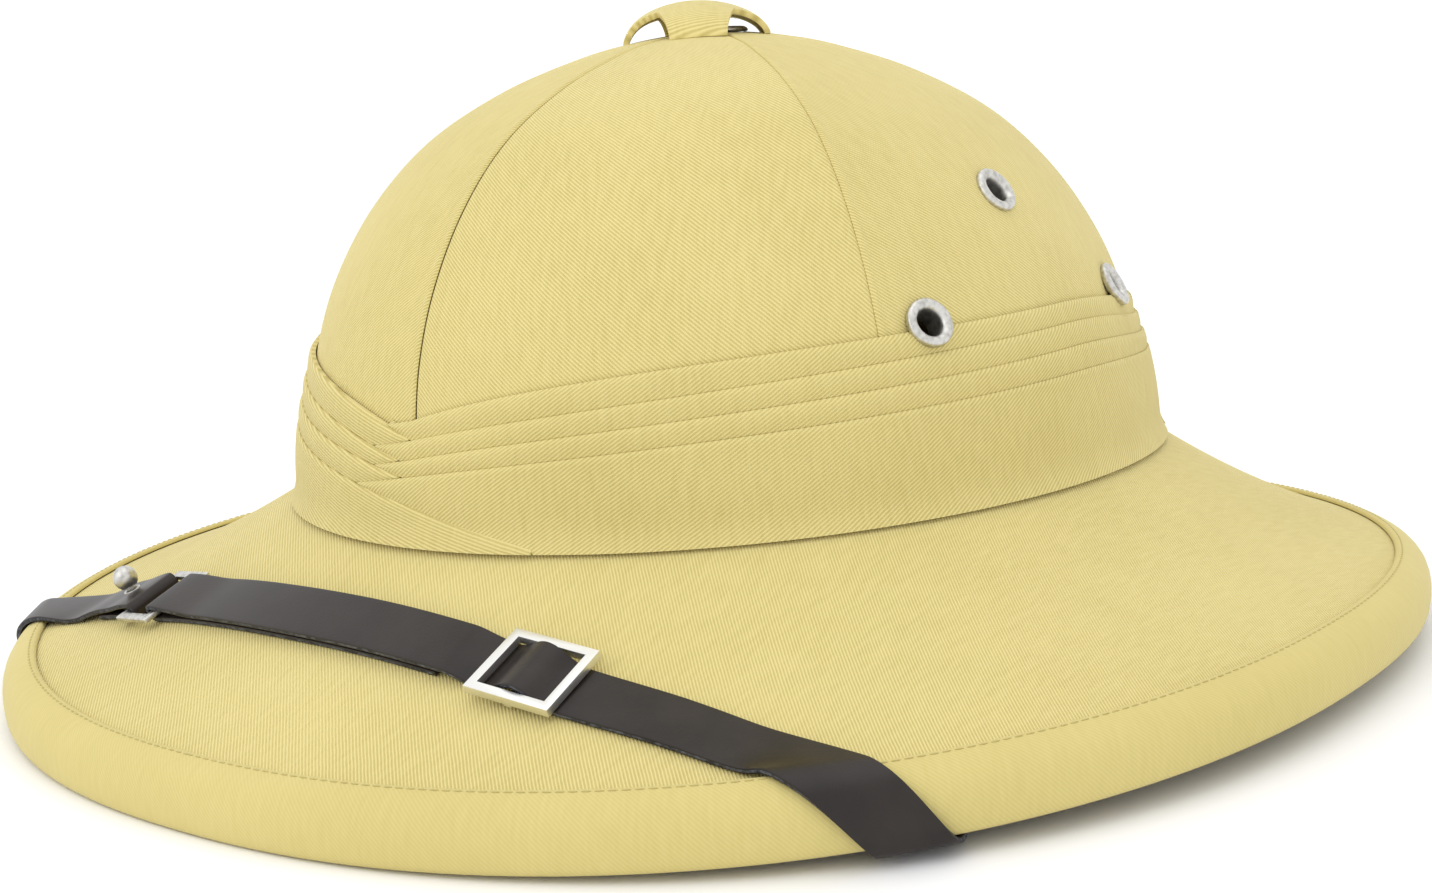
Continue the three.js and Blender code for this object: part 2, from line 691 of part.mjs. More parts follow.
// A flat strap of even wall along a path of places, each with its way out and its half width.
function ribbon(path) {
  const parts = 2;
  const curve = new THREE.CatmullRomCurve3(path.map((row) => row.point), false, 'centripetal');
  const count = (path.length - 1) * parts;
  const [upper, lower] = [[], []];
  for (let k = 0; k <= count; k += 1) {
    const from = path[Math.min(Math.floor(k / parts), path.length - 2)];
    const to = path[Math.min(Math.floor(k / parts) + 1, path.length - 1)];
    const share = k === count ? 1 : (k % parts) / parts;
    const across = from.across.clone().lerp(to.across, share);
    const facing = from.normal.clone().lerp(to.normal, share);
    const normal = across.clone().cross(curve.getTangent(k / count)).normalize();
    if (normal.dot(facing) < 0) normal.negate();
    const place = curve.getPoint(k / count);
    const edge = (stand) => [-1, 1].map((way) => place.clone()
      .addScaledVector(across, way).addScaledVector(normal, stand * strapWall / 2));
    upper.push(edge(1));
    lower.push(edge(-1));
  }
  return wall(upper, lower, false);
}

const ease = (x, from, to) => {
  const share = Math.min(1, Math.max(0, (x - from) / (to - from)));
  return share * share * (3 - 2 * share);
};
const foldRun = 14;
const lapFall = 9;
const foldTop = lowLayer + 2 * foldRadius;
const centreHeight = gap + buckleCentreLift;
const routeLeft = routePoints[0].x;
const routeRight = routePoints.at(-1).x;

// Long strap: folded round the ring's right bar, double to near the buckle, then single to the rim.
const longFoldX = ringX + foldOffset;
const longLapX = buckleX - buckleLength / 2 - lapToBuckle;
function longHeight(x) {
  const opened = foldTop + (highLayer - foldTop) * ease(x, longFoldX, longFoldX + foldRun);
  const single = opened + (lowLayer - opened) * ease(x, longLapX + 1, longLapX + lapFall);
  const overBar = centreHeight + buckleCentreWall + gap + buckleHump + strapWall / 2;
  const halfOpening = buckleLength / 2 - buckleBar;
  const fromBar = Math.min(1, Math.abs(x - buckleX) / halfOpening);
  return single + (overBar - lowLayer) * Math.cos(fromBar * Math.PI / 2) ** 2;
}
const longStations = [
  ...spread(longFoldX, longLapX, 13).slice(1),
  ...spread(longLapX, buckleX - buckleLength / 2, 4).slice(1),
  ...spread(buckleX - buckleLength / 2, buckleX + buckleLength / 2, 8).slice(1),
  ...spread(buckleX + buckleLength / 2, routeRight, 4).slice(1),
];
add('chin_strap_long', ribbon([
  ...spread(longLapX, longFoldX, 11).slice(0, -1).map((x) => onRoute(x, lowLayer, -1)),
  ...ringFold(1).reverse(),
  ...longStations.map((x) => onRoute(x, longHeight(x), 1)),
  ...rimWrap(rimCrossings.right),
]), leather);

// Short strap: over the rim from the left, round the ring's left bar and back under itself.
const shortFoldX = ringX - foldOffset;
const shortLapX = shortFoldX - shortLapLength;
function shortHeight(x) {
  const opened = foldTop + (highLayer - foldTop) * ease(-x, -shortFoldX, -shortFoldX + foldRun);
  return opened + (lowLayer - opened) * ease(-x, -shortLapX + 1, -shortLapX + lapFall);
}
add('chin_strap_short', ribbon([
  ...spread(shortLapX, shortFoldX, 4).slice(0, -1).map((x) => onRoute(x, lowLayer, -1)),
  ...ringFold(-1).reverse(),
  ...spread(shortFoldX, routeLeft, 6).slice(1).map((x) => onRoute(x, shortHeight(x), 1)),
  ...rimWrap(rimCrossings.left),
]), leather);

// A flat frame cut from plate: its outline, its opening and its wall.
function plateFrame(length, width, bar, plateWall) {
  const rectangle = (path, halfLength, halfWidth) => path
    .moveTo(-halfLength, -halfWidth).lineTo(halfLength, -halfWidth)
    .lineTo(halfLength, halfWidth).lineTo(-halfLength, halfWidth).closePath();
  const shape = new THREE.Shape();
  rectangle(shape, length / 2, width / 2);
  const hole = new THREE.Path();
  rectangle(hole, length / 2 - bar, width / 2 - bar);
  shape.holes.push(hole);
  return new THREE.ExtrudeGeometry(shape, { depth: plateWall, bevelEnabled: false });
}

function placeOnStrap(geometry, x, height) {
  const seat = strapSeat(x);
  const across = seat.normal.clone().cross(seat.along);
  const turned = new THREE.Matrix4().makeBasis(seat.along, across, seat.normal);
  turned.setPosition(seat.point.clone().addScaledVector(seat.normal, height));
  return geometry.applyMatrix4(turned);
}

const ringWidth = strapWidth + 2 * (ringSideGap + ringBar);
const ringHeight = lowLayer + foldRadius - ringWall / 2;
add('strap_ring', placeOnStrap(plateFrame(ringLength, ringWidth, ringBar, ringWall), ringX, ringHeight), nickel);

// Ball stud through both layers of the short strap.
const studX = ringX - studOffset;
const studSeat = shortHeight(studX) + strapWall / 2 + gap;
const studLine = [
  [0, 0], [studNeck + 0.9, 0], [studNeck + 0.9, 0.4], [studNeck, 0.6], [studNeck, studNeckHeight],
  ...spread(-60, 90, 6).map((turn) => [
    studBall * Math.cos(turn * degree), studNeckHeight + studBall * (Math.sin(60 * degree) + Math.sin(turn * degree)),
  ]),
].map(([x, y]) => new THREE.Vector2(Math.max(0, x), y));
add('ball_stud', placeOnStrap(new THREE.LatheGeometry(studLine, 12).rotateX(Math.PI / 2), studX, studSeat), nickel);

// Slide buckle: a bevelled frame over the strap, and a centre bar under it.
const buckleWidth = strapWidth + 2 * (buckleSideGap + buckleBar);
const frameHeight = lowLayer + strapWall / 2 + gap;
const frame = placeOnStrap(plateFrame(buckleLength, buckleWidth, buckleBar, buckleWall), buckleX, frameHeight);
const barDepth = frameHeight + buckleWall * 0.6 - centreHeight;
const centreBar = new THREE.BoxGeometry(buckleCentreBar, buckleWidth - buckleBar, buckleCentreWall);
const ears = [-1, 1].map((side) => new THREE.BoxGeometry(buckleCentreBar, buckleBar * 0.8, barDepth)
  .translate(0, side * (buckleWidth / 2 - buckleBar / 2), barDepth / 2));
const barSolid = [centreBar.translate(0, 0, buckleCentreWall / 2), ...ears]
  .map((geometry) => toSolid(placeOnStrap(geometry, buckleX, centreHeight)));
const buckle = barSolid.reduce((solid, piece) => solid.add(piece), toSolid(frame));
add('slide_buckle', toGeometry(buckle), chrome);

export default group;
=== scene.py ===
import math

import bmesh
import bpy
import numpy as np
from mathutils import Matrix, Vector


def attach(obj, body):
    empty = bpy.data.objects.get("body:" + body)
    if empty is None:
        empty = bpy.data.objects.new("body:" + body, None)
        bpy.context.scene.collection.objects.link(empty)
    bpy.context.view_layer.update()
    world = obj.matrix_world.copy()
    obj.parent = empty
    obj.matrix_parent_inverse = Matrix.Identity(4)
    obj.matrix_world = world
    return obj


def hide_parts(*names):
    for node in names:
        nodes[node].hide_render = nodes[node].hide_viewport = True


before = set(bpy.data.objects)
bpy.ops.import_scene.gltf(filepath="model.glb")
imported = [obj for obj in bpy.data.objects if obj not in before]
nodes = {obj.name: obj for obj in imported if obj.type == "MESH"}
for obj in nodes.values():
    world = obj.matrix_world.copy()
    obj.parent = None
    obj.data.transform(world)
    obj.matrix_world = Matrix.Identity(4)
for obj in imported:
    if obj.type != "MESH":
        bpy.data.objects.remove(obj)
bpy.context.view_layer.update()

# The camera stands close, a little above the brim, and looks across the right front of the
# helmet, almost level. Its place and lens give the photograph's whole frame.
camera_data = bpy.data.cameras.new("camera")
camera_data.lens = 50.85
camera_data.sensor_width = 36.0
camera_data.clip_start = 0.01
camera = bpy.data.objects.new("camera", camera_data)
bpy.context.scene.collection.objects.link(camera)
camera.matrix_world = Matrix((
    (0.7824, -0.0646, 0.6194, 0.30613),
    (0.6204, 0.1677, -0.7662, -0.37992),
    (-0.0544, 0.9837, 0.1712, 0.12856),
    (0.0, 0.0, 0.0, 1.0),
))
bpy.context.scene.camera = camera

# A white paper sweep under soft white light, in a pale room: a broad lamp in front of the helmet
# and one above it, both turned towards its middle.
world = bpy.data.worlds.new("studio")
world.use_nodes = True
room = world.node_tree.nodes["Background"]
room.inputs["Color"].default_value = (1.0, 1.0, 1.0, 1.0)
room.inputs["Strength"].default_value = 1.1
bpy.context.scene.world = world
bpy.context.scene.view_settings.view_transform = "Standard"

lamps = (
    ("lamp_front", (-0.25, -1.0, 0.75), 0.7, 1.9),
    ("lamp_top", (0.1, 0.0, 1.3), 0.9, 1.6),
)
for name, place, size, power in lamps:
    lamp_data = bpy.data.lights.new(name, "AREA")
    lamp_data.size = size
    lamp_data.energy = power
    lamp = bpy.data.objects.new(name, lamp_data)
    bpy.context.scene.collection.objects.link(lamp)
    aim = (Vector((0.0, 0.0, 0.06)) - Vector(place)).to_track_quat("-Z", "Y")
    lamp.matrix_world = Matrix.Translation(place) @ aim.to_matrix().to_4x4()

bpy.ops.object.select_all(action="DESELECT")
bpy.ops.mesh.primitive_plane_add(size=60.0, location=(0.0, 0.0, -0.0002))
floor = bpy.context.object
floor.name = "floor"
paper = bpy.data.materials.new("white_paper")
paper.use_nodes = True
paper_shader = paper.node_tree.nodes["Principled BSDF"]
paper_shader.inputs["Base Color"].default_value = (0.95, 0.95, 0.95, 1.0)
paper_shader.inputs["Roughness"].default_value = 0.9
floor.data.materials.append(paper)

# Crown cover: six gores of khaki cotton twill, seamed over the front, the back and every sixty
# degrees between, and stretched over the moulded crown. Each is cut on its own grain.
MM = 0.001
CROWN_WIDTH, CROWN_LENGTH, CROWN_BACK, CROWN_LEAN = 100.4, 114.0, 8.0, -3.6
CROWN_ROOT, CROWN_RISE, SIDE_LIFT, BACK_DROP = 40.0, 104.4, 1.8, 1.2
FOOT_RISE, FOOT_REACH, FOOT_SPLAY = 0.03, 0.955, 0.1
TOP_RISE, TOP_REACH, TOP_CLOSE = 0.984, 0.085, 0.008
CLOTH, GAP = 1.0, 0.35
crown_sections = np.array((
    (FOOT_RISE, FOOT_REACH), (0.2, 0.938), (0.35, 0.912), (0.5, 0.855), (0.65, 0.76),
    (0.78, 0.63), (0.88, 0.46), (0.945, 0.285), (0.972, 0.17), (TOP_RISE, TOP_REACH),
))


def lengths_along(points, axis=0):
    """The length up to each point, along the rows (0) or columns (1) of a grid, or along a line."""
    steps = np.linalg.norm(np.diff(points, axis=axis), axis=-1)
    return np.insert(np.cumsum(steps, axis=axis), 0, 0.0, axis=axis)


def catmull(points, count):
    """Points spaced evenly along a smooth curve through the given ones."""
    last = len(points) - 1
    dense = []
    for t in np.linspace(0.0, last, 40 * last + 1):
        n = min(int(t), last - 1)
        w = t - n
        a, b, c, d = (points[min(max(k, 0), last)] for k in (n - 1, n, n + 1, n + 2))
        v, u = (c - a) / 2, (d - b) / 2
        cubic, square = 2 * b - 2 * c + v + u, -3 * b + 3 * c - 2 * v - u
        dense.append(cubic * w**3 + square * w**2 + v * w + b)
    dense = np.array(dense)
    run = lengths_along(dense)
    wanted = np.linspace(0.0, run[-1], count)
    return np.stack([np.interp(wanted, run, dense[:, k]) for k in range(dense.shape[1])], axis=1)


crown_line = catmull(crown_sections, 241)


def rises_along(count):
    """Shares of the crown's rise that stand evenly along its outline, from its foot to its top."""
    places = np.linspace(0.0, 1.0, len(crown_line))
    return np.interp(np.linspace(0.0, 1.0, count), places, crown_line[:, 0])


def reach_at(rise):
    """The crown's reach at shares of its rise: it splays below its foot and closes over its top."""
    low = FOOT_REACH + (FOOT_RISE - rise) * FOOT_SPLAY
    high = TOP_REACH * np.maximum(TOP_RISE + TOP_CLOSE - rise, 0.0) / TOP_CLOSE
    inside = np.interp(rise, crown_line[:, 0], crown_line[:, 1])
    return np.where(rise < FOOT_RISE, low, np.where(rise > TOP_RISE, high, inside))


def crown_skin(angle, rise):
    """The crown's outer surface in mm, by degrees round from the front and shares of its rise."""
    turn = np.radians(angle)
    reach = reach_at(rise)
    backwards = np.maximum(0.0, -np.cos(turn))
    root = CROWN_ROOT + SIDE_LIFT * np.sin(turn) ** 2 - BACK_DROP * backwards**2
    return np.stack(np.broadcast_arrays(
        CROWN_WIDTH * np.sin(turn) * reach,
        -CROWN_LENGTH * np.cos(turn) * reach + CROWN_BACK + CROWN_LEAN * rise,
        root + (CROWN_ROOT + CROWN_RISE - root) * rise,
    ), axis=-1)


def off_surface(surface, angle, place, stand, outward=1.0):
    """A surface's points moved along its own outward direction by a stand in millimetres."""
    turn_step, place_step = 0.4, 0.002
    high = place + place_step
    if surface is crown_skin:
        high = np.minimum(high, TOP_RISE)
    round_way = surface(angle + turn_step, place) - surface(angle - turn_step, place)
    up_way = surface(angle, high) - surface(angle, place - place_step)
    normal = np.cross(round_way, up_way) * outward
    normal /= np.linalg.norm(normal, axis=-1, keepdims=True)
    return surface(angle, place) + normal * np.asarray(stand)[..., None]


def weld(distance):
    """Merges the active piece's doubled points and turns its faces outwards."""
    bpy.ops.object.mode_set(mode="EDIT")
    bpy.ops.mesh.select_all(action="SELECT")
    bpy.ops.mesh.remove_doubles(threshold=distance)
    bpy.ops.mesh.normals_make_consistent(inside=False)
    bpy.ops.object.mode_set(mode="OBJECT")


def lay_grid(name, points, along=None, across=None, closed=False):
    """A sheet shaped from a grid of points in mm, with its cloth's own lengths in its UV map."""
    rows, columns = points.shape[:2]
    bpy.ops.object.select_all(action="DESELECT")
    bpy.ops.mesh.primitive_grid_add(x_subdivisions=columns - 1, y_subdivisions=rows - 1, size=1.0)
    sheet = bpy.context.object
    sheet.name = name
    sheet.data.name = name
    along = lengths_along(points, 1) if along is None else along
    across = lengths_along(points, 0) if across is None else across
    flat = np.stack((along, across), axis=-1).reshape(-1, 2)
    corners = np.empty(len(sheet.data.loops), dtype=np.int32)
    sheet.data.loops.foreach_get("vertex_index", corners)
    sheet.data.uv_layers.active.data.foreach_set("uv", (flat[corners] * MM).ravel())
    sheet.data.vertices.foreach_set("co", (points * MM).ravel())
    sheet.data.update()
    if closed:
        weld(1e-6)
    bpy.ops.object.shade_smooth_by_angle(angle=math.radians(50))
    return sheet


def apply_modifier(piece, kind, **settings):
    """Gives a piece one modifier and applies it."""
    bpy.context.view_layer.objects.active = piece
    modifier = piece.modifiers.new(kind.lower(), kind)
    for setting, value in settings.items():
        setattr(modifier, setting, value)
    bpy.ops.object.modifier_apply(modifier=modifier.name)


def thicken(sheet, wall):
    """Gives a sheet its wall on the side away from its normals."""
    apply_modifier(sheet, "SOLIDIFY", thickness=wall * MM, offset=-1.0)


def new_finish(name, settings):
    """A material with its node tree and its shader, whose own sockets are set as given."""
    finish = bpy.data.materials.new(name)
    finish.use_nodes = True
    shader = finish.node_tree.nodes["Principled BSDF"]
    for socket, value in settings.items():
        shader.inputs[socket].default_value = value
    return finish, finish.node_tree, shader


def add_node(tree, kind, settings, sources):
    """A shader node with sockets set to values or fed from other nodes' outputs."""
    node = tree.nodes.new(f"ShaderNode{kind}")
    for socket, value in settings.items():
        node.inputs[socket].default_value = value
    for socket, source in sources.items():
        tree.links.new(source, node.inputs[socket])
    return node


def patches(tree, scale, detail):
    """Uneven patches that stay fixed to the piece."""
    place = add_node(tree, "TexCoord", {}, {}).outputs["Object"]
    noise = add_node(tree, "TexNoise", {"Scale": scale, "Detail": detail}, {"Vector": place})
    return noise.outputs["Fac"]


def weigh(tree, source, share, base=None):
    """A share of one source, laid over another where one is given."""
    sources = {0: source} if base is None else {0: source, 2: base}
    blend = add_node(tree, "Math", {1: share}, sources)
    blend.operation = "MULTIPLY" if base is None else "MULTIPLY_ADD"
    return blend.outputs["Value"]


def colour_by(tree, shader, source, *tones):
    """Colours a finish between two tones, each a place on the source's scale and a colour."""
    ramp = add_node(tree, "ValToRGB", {}, {"Fac": source})
    for element, (position, colour) in zip(ramp.color_ramp.elements, tones):
        element.position = position
        element.color = (*colour, 1.0)
    tree.links.new(ramp.outputs["Color"], shader.inputs["Base Color"])


def dull_by(tree, shader, source, least, most):
    """Varies a finish between two roughnesses."""
    dull = add_node(tree, "MapRange", {"To Min": least, "To Max": most}, {"Value": source})
    tree.links.new(dull.outputs["Result"], shader.inputs["Roughness"])


def raise_by(tree, shader, source, strength, height):
    """Raises a finish's surface by a height in millimetres."""
    settings = {"Strength": strength, "Distance": height * MM}
    bump = add_node(tree, "Bump", settings, {"Height": source})
    tree.links.new(bump.outputs["Normal"], shader.inputs["Normal"])


# A wave texture's ribs stand this far apart at a scale of one.
WAVE_SPACING = 0.314
DARK_KHAKI, PALE_KHAKI = (0.53, 0.44, 0.145), (0.76, 0.65, 0.285)


def khaki_twill(name, turn, light=1.0, pitch=0.68, relief=1.2):
    """Cotton twill: fine ribs at an angle to the cloth's grain, slubby yarns and uneven dye."""
    cloth, tree, shader = new_finish(name, {
        "Roughness": 0.82, "Specular IOR Level": 0.25,
        "Sheen Weight": 0.12, "Sheen Roughness": 0.45,
    })
    flat = {"Vector": add_node(tree, "TexCoord", {}, {}).outputs["UV"]}
    turned = (0.0, 0.0, math.radians(turn))
    grain = add_node(tree, "Mapping", {"Rotation": turned, "Scale": (1000.0, 1000.0, 1000.0)}, flat)
    slubs = add_node(tree, "Mapping", {"Rotation": turned, "Scale": (900.0, 160.0, 900.0)}, flat)
    rib_look = {
        "Scale": WAVE_SPACING / pitch, "Distortion": 1.1, "Detail": 2.0, "Detail Scale": 0.5,
    }
    ribs = add_node(tree, "TexWave", rib_look, {"Vector": grain.outputs["Vector"]})
    yarn_look = {"Scale": 1.0, "Detail": 3.0}
    yarns = add_node(tree, "TexNoise", yarn_look, {"Vector": slubs.outputs["Vector"]})
    dye = weigh(tree, patches(tree, 24.0, 5.0), 0.3)
    uneven = weigh(tree, yarns.outputs["Fac"], 0.3, dye)
    weave = weigh(tree, ribs.outputs["Fac"], 0.4 * relief, uneven)
    colour_by(
        tree, shader, weave,
        (0.5 - 0.3 / relief, [part * light for part in DARK_KHAKI]),
        (0.5 + 0.3 / relief, [part * light for part in PALE_KHAKI]),
    )
    raise_by(tree, shader, weave, 0.8 * relief, 0.22)
    return cloth


GORE_HALF, SEAM_ROLL, SEAM_WIDTH = 30.0, 0.5, 0.45
SEAM_LAP, LAP_RISE, LAP_EASE = 1.5, 0.2, 0.14
seam_gaps = (0.24, 0.05, 0.12, 0.24, 0.05, 0.12, 0.24)
gore_grain = (-46.0, -46.0, 35.0, 48.0, -38.0, 50.0)
gore_across = np.linspace(-1.0, 1.0, 81)
gore_across = np.sign(gore_across) * (1.0 - (1.0 - np.abs(gore_across)) ** 2.2)
gore_rises = rises_along(64)
for number, grain in enumerate(gore_grain):
    middle = (2 * number + 1) * GORE_HALF
    seam_gap = np.where(gore_across < 0.0, seam_gaps[number], seam_gaps[number + 1])[None, :]
    half_gap = np.degrees(0.5 * seam_gap / (CROWN_WIDTH * reach_at(gore_rises)[:, None]))
    turned = (GORE_HALF - half_gap) * gore_across
    rise = np.repeat(gore_rises[:, None], len(gore_across), axis=1)
    arc = CROWN_WIDTH * reach_at(rise)
    from_seam = np.radians(GORE_HALF - np.abs(turned)) * arc
    depth = SEAM_ROLL * (0.4 + 2.5 * seam_gap)
    stand = -depth * np.exp(-((from_seam / SEAM_WIDTH) ** 2))
    if number % 2:
        stand += LAP_RISE / (1.0 + np.exp((from_seam - SEAM_LAP) / LAP_EASE))
    points = off_surface(crown_skin, middle + turned, rise, stand)
    up = lengths_along(points[:, len(gore_across) // 2])
    up = np.repeat(up[:, None], len(gore_across), axis=1)
    gore = lay_grid(f"twill_gore_{number + 1}", points, along=np.radians(turned) * arc, across=up)
    thicken(gore, CLOTH)
    gore.data.materials.append(khaki_twill(f"khaki_gore_{number + 1}", grain))
    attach(gore, "root")
    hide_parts(f"crown_gore_{number + 1}")

# Brim cover: one ring of the same twill from under the band out to the bound rim, glued down
# over the moulded brim, which falls away in a shallow hollow.
RIM_WIDTH, RIM_LENGTH, RIM_FULLNESS, RIM_LIFT = 161.0, 168.0, 2.2, 5.5
LINE_INSET, LINE_HEIGHT, BRIM_SAG = 6.6, 11.6, 2.9


def rim_at(angle, inset, height):
    """Points round the rim, by degrees from the front, in from it and up from its foot in mm."""
    turn = np.radians(angle)
    power = 2.0 / RIM_FULLNESS
    side = np.sign(np.sin(turn)) * np.abs(np.sin(turn)) ** power
    ahead = np.sign(np.cos(turn)) * np.abs(np.cos(turn)) ** power
    return np.stack(np.broadcast_arrays(
        (RIM_WIDTH - inset) * side,
        -(RIM_LENGTH - inset) * ahead,
        RIM_LIFT * np.sin(turn) ** 2 + height,
    ), axis=-1)


def brim_skin(angle, share):
    """The brim's upper surface in mm, from the crown's root (0) to the binding's line (1)."""
    share = np.asarray(share)[..., None]
    points = crown_skin(angle, np.full(np.shape(angle), FOOT_RISE)) * (1.0 - share)
    points = points + rim_at(angle, LINE_INSET, LINE_HEIGHT) * share
    return points - np.array((0.0, 0.0, 1.0)) * BRIM_SAG * 4.0 * share * (1.0 - share)


round_angles = np.linspace(0.0, 360.0, 241)
round_angles = round_angles + np.degrees(0.04 * np.sin(np.radians(4 * round_angles)))
angle, share = np.meshgrid(round_angles, np.linspace(0.03, 1.0, 40))
points = off_surface(brim_skin, angle, share, np.zeros_like(angle), outward=-1.0)
flat_x, flat_y = points[..., 0], points[..., 1]
cover = lay_grid("brim_top_cloth", points, along=flat_x, across=flat_y, closed=True)
thicken(cover, CLOTH)
cover.data.materials.append(khaki_twill("khaki_brim", -48.0, pitch=0.62))
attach(cover, "root")
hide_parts("brim_cover")

# Binding: a bias strip of twill folded over the rim, stitched down inside its upper edge and
# turned under. Its upper edge makes the fine line that runs round the brim.
binding_section = np.array((
    (7.7, 12.2), (7.68, 12.5), (7.45, 12.85), (7.0, 13.05), (6.3, 12.98), (5.4, 12.65),
    (4.1, 12.05), (2.8, 11.2), (1.7, 10.05), (0.8, 8.6), (0.25, 6.9), (0.0, 5.2), (0.02, 3.0),
    (0.2, 1.3), (0.55, 0.4), (1.15, 0.0), (2.9, 0.0), (4.6, 0.0), (5.3, 0.3), (5.7, 1.0),
    (5.7, 3.3), (5.7, 5.6), (4.6, 5.6), (4.6, 1.1), (1.4, 1.1), (1.1, 5.2), (1.75, 8.15),
    (3.5, 10.3), (5.7, 11.75), (7.5, 12.2), (7.7, 12.2),
))
angle, row = np.meshgrid(round_angles, np.arange(len(binding_section)))
points = rim_at(angle, binding_section[row, 0], binding_section[row, 1])
rim_run = lengths_along(points[np.argmin(binding_section[:, 0])])
rim_run = np.tile(rim_run, (len(points), 1))
binding = lay_grid("rim_binding", points, along=rim_run, closed=True)
binding.data.materials.append(khaki_twill("khaki_binding", 45.0, relief=0.45))
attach(binding, "root")
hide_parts("brim_binding")

# Stitching: one row of matching thread round the brim, just within the binding's upper edge. One
# stitch is modelled, and repeated and bent along the whole line.
STITCH_INSET, STITCH_HEIGHT, STITCH_PITCH, LINE_POINTS = 6.2, 12.97, 2.3, 720
bpy.ops.object.select_all(action="DESELECT")
bpy.ops.mesh.primitive_uv_sphere_add(segments=8, ring_count=5, radius=0.0005)
stitches = bpy.context.object
stitches.name = "rim_stitches"
stitches.data.name = "rim_stitches"
stitches.scale = (1.8, 0.4, 0.3)
bpy.ops.object.transform_apply(location=False, rotation=False, scale=True)
thread_path = bpy.data.curves.new("stitch_line", "CURVE")
thread_path.dimensions = "3D"
seam_run = thread_path.splines.new("POLY")
seam_angles = np.linspace(0.0, 360.0, LINE_POINTS, endpoint=False)
seam_points = rim_at(seam_angles, STITCH_INSET, STITCH_HEIGHT) * MM
seam_run.points.add(LINE_POINTS - 1)
seam_points = np.pad(seam_points, ((0, 0), (0, 1)), constant_values=1.0)
seam_run.points.foreach_set("co", seam_points.ravel())
seam_run.use_cyclic_u = True
stitch_line = bpy.data.objects.new("stitch_line", thread_path)
bpy.context.scene.collection.objects.link(stitch_line)
repeat = stitches.modifiers.new("repeat", "ARRAY")
repeat.fit_type = "FIT_CURVE"
repeat.curve = stitch_line
repeat.use_relative_offset = False
repeat.use_constant_offset = True
repeat.constant_offset_displace = (STITCH_PITCH * MM, 0.0, 0.0)
follow = stitches.modifiers.new("follow", "CURVE")
follow.object = stitch_line
for modifier in (repeat, follow):
    bpy.ops.object.modifier_apply(modifier=modifier.name)
bpy.data.objects.remove(stitch_line)
bpy.ops.object.shade_smooth()
stitches.data.materials.append(khaki_twill("khaki_thread", 0.0, light=0.86, pitch=0.3, relief=0.5))
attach(stitches, "root")

# Moulded shell: crown and brim in one wall of pressed cork board, turned down at the rim. It is
# bare inside, with a smooth pale face, and has a hole at its top for the vent.
SHELL_WALL, VENT_REACH, CORNER_DROP = 3.0, 0.0593, 0.6
lip = ((5.9, 9.9), (4.2, 8.95), (2.6, 7.5), (1.5, 5.2), (1.5, 1.5), (4.2, 1.5), (4.2, 5.9))
shell_rises = rises_along(30)
shell_shares = np.linspace(0.0, 1.0, 14)
outer_face, inner_face = -(CLOTH + GAP), -(CLOTH + GAP + SHELL_WALL)
full = np.ones_like(round_angles)


def crown_row(rise, stand):
    return off_surface(crown_skin, round_angles, full * rise, full * stand)


def brim_row(share, stand):
    return off_surface(brim_skin, round_angles, full * share, full * stand, outward=-1.0)


def root_corner(stand):
    """The corner between crown and brim, set a little lower than either skin's own direction."""
    return crown_row(FOOT_RISE, stand) + np.array((0.0, 0.0, stand * CORNER_DROP))


top_hole = crown_row(TOP_RISE, outer_face)
hole_centre = np.array((0.0, CROWN_BACK + CROWN_LEAN * TOP_RISE, top_hole[0, 2]))
hole_edge = hole_centre + (top_hole - hole_centre) * VENT_REACH / TOP_REACH
shell_section = [
    hole_edge,
    *(crown_row(rise, outer_face) for rise in shell_rises[:0:-1]),
    root_corner(outer_face),
    *(brim_row(share, outer_face) for share in shell_shares[1:-1]),
    *(rim_at(round_angles, inset, height) for inset, height in lip),
    *(brim_row(share, inner_face) for share in shell_shares[-2:0:-1]),
    root_corner(inner_face),
    *(crown_row(rise, inner_face) for rise in shell_rises[1:]),
    hole_edge + np.array((0.0, 0.0, -SHELL_WALL)),
    hole_edge,
]
shell = lay_grid("moulded_shell", np.array(shell_section), closed=True)
board, tree, shader = new_finish("cork_board", {"Roughness": 0.9})
crumbs = patches(tree, 420.0, 6.0)
colour_by(tree, shader, crumbs, (0.35, (0.40, 0.32, 0.16)), (0.65, (0.58, 0.49, 0.28)))
raise_by(tree, shader, crumbs, 0.4, 0.3)
shell.data.materials.append(board)
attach(shell, "root")
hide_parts("helmet_shell")

# Band: one long cloth wound round the crown's foot in four flat pleats a side. At the front
# the left pleats tuck in turn under the right ones, and the lowest left fold comes out over all.
BAND_HEIGHT, JOIN_ANGLE, PLEAT_BASE, PLEAT_STEP = 39.0, 126.0, 1.0, 0.7
FOLD_ROLL, ROLL_WIDTH, FOLD_GAP, FOLD_SWELL, BILLOW, HEAD_ROUND = 0.36, 0.5, 0.03, 0.3, 0.14, 103.0
OUTER_FOOT, INNER_FOOT, THIN_EDGE, FOOT_FLARE, FLARE_HEIGHT = 0.015, 0.115, 1.2 / 39.0, 1.5, 6.0
pleats = (
    {"right": (0.667, 28.0), "left": (0.567, 28.0), "side": 1.0, "back": 0.9},
    {"right": (0.562, 40.0), "left": (0.438, 40.0), "side": 0.885, "back": 0.78},
    {"right": (0.462, 40.0), "left": (0.367, 55.0), "side": 0.755, "back": 0.67},
    {"right": (0.374, 40.0), "left": (0.236, 60.0), "side": 0.618, "back": 0.56},
)
pleat_dip = {"right": 0.0064, "left": 0.0108}
band_grain = {"right": 56.0, "left": 76.0}


